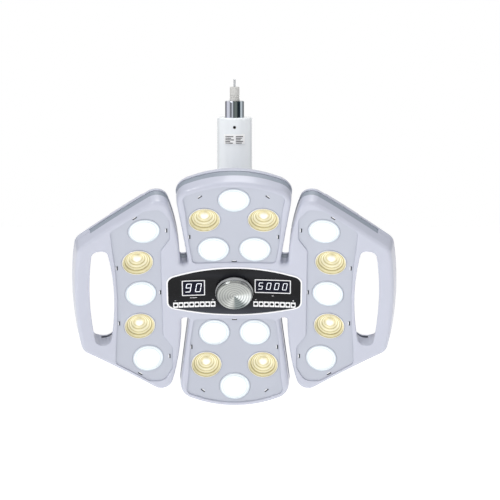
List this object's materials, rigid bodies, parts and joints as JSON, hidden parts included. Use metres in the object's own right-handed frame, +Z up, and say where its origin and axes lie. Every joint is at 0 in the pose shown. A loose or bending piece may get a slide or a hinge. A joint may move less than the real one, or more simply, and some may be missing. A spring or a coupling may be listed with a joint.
{
  "type": "dental operating light",
  "caption": "Petal-shaped LED dental light head with side handles, digital panel and push knob, on a swivel column with a spigot mount.",
  "frame": {"origin": "centre of the mounting spigot's top face, on the column's swivel axis", "axes": "+Z up along the column, -Y towards the user in front of the lit face, +X to the right seen from the front"},
  "size_m": [0.4348, 0.2187, 0.4522],
  "materials": {
    "chrome": "polished",
    "steel": "turned",
    "insulator": "moulded, satin",
    "column_white": "gloss white powder coat",
    "brass": "turned bearing bronze",
    "black_screw": "black oxide",
    "label": "printed film",
    "aluminium": "machined",
    "dark_plastic": "satin",
    "cover_white": "semi-gloss moulded",
    "belt_grey": "satin moulded",
    "lens_plate_grey": "fine satin",
    "lens_cool": "clear lens lit cool white",
    "lens_warm": "clear lens over a warm reflector",
    "led_board_white": "white solder mask",
    "panel_black": "polished black",
    "display_dark": "dark tinted window",
    "circuit_green": "green solder mask",
    "knob_metal": "spun, concentric grain"
  },
  "bodies": {
    "mount": {"mount_spigot": "chrome", "spigot_circlip": "steel", "contact_insulator": "insulator", "contact_pin": "steel"},
    "column": {"column_tube": "column_white", "column_bush": "brass", "column_set_screw": "black_screw", "rating_plate": "label", "tilt_fork": "aluminium", "tilt_pin": "steel", "tilt_washer_left": "dark_plastic", "tilt_washer_right": "dark_plastic"},
    "tilt_arm": {"tilt_knuckle": "aluminium", "stem_nut": "steel"},
    "head": {"hub_plate": "steel", "roll_bush": "brass", "front_cover": "cover_white", "rear_cover": "cover_white", "left_grip": "cover_white", "right_grip": "cover_white", "belt_frame": "belt_grey", "lens_plate_top": "lens_plate_grey", "lens_plate_bottom": "lens_plate_grey", "lens_plate_left": "lens_plate_grey", "lens_plate_right": "lens_plate_grey", "lens_top_1": "lens_cool", "lens_top_2": "lens_warm", "lens_top_3": "lens_warm", "lens_top_4": "lens_cool", "lens_top_5": "lens_cool", "lens_bottom_1": "lens_cool", "lens_bottom_2": "lens_warm", "lens_bottom_3": "lens_warm", "lens_bottom_4": "lens_cool", "lens_bottom_5": "lens_cool", "lens_left_1": "lens_cool", "lens_left_2": "lens_warm", "lens_left_3": "lens_cool", "lens_left_4": "lens_warm", "lens_left_5": "lens_cool", "lens_right_1": "lens_cool", "lens_right_2": "lens_warm", "lens_right_3": "lens_cool", "lens_right_4": "lens_warm", "lens_right_5": "lens_cool", "led_board_top": "led_board_white", "led_board_bottom": "led_board_white", "led_board_left": "led_board_white", "led_board_right": "led_board_white", "heat_sink_top": "aluminium", "heat_sink_bottom": "aluminium", "heat_sink_left": "aluminium", "heat_sink_right": "aluminium", "control_panel": "panel_black", "display_two_digit": "display_dark", "display_four_digit": "display_dark", "control_board": "circuit_green", "encoder_body": "dark_plastic"},
    "knob_plunger": {"encoder_plunger": "steel"},
    "knob": {"knob": "knob_metal"}
  },
  "joints": [
    {"name": "column_swivel", "type": "hinge", "parent": "mount", "child": "column", "pos_m": [0, 0, -0.1], "axis": [0, 0, 1], "range_deg": [-165, 165]},
    {"name": "head_tilt", "type": "hinge", "parent": "column", "child": "tilt_arm", "pos_m": [0, 0, -0.202], "axis": [1, 0, 0], "range_deg": [-35, 65]},
    {"name": "head_roll", "type": "hinge", "parent": "tilt_arm", "child": "head", "pos_m": [0, 0, -0.202], "axis": [0, -0.866, -0.5], "range_deg": [-75, 75]},
    {"name": "knob_push", "type": "slide", "parent": "head", "child": "knob_plunger", "axis": [0, 0.866, 0.5], "range_m": [0, 0.0012], "stiffness_N_per_m": 2500, "springref_m": -0.0012},
    {"name": "knob_turn", "type": "hinge", "parent": "knob_plunger", "child": "knob", "pos_m": [0, -0.08227, -0.2495], "axis": [0, -0.866, -0.5], "continuous": true}
  ]
}
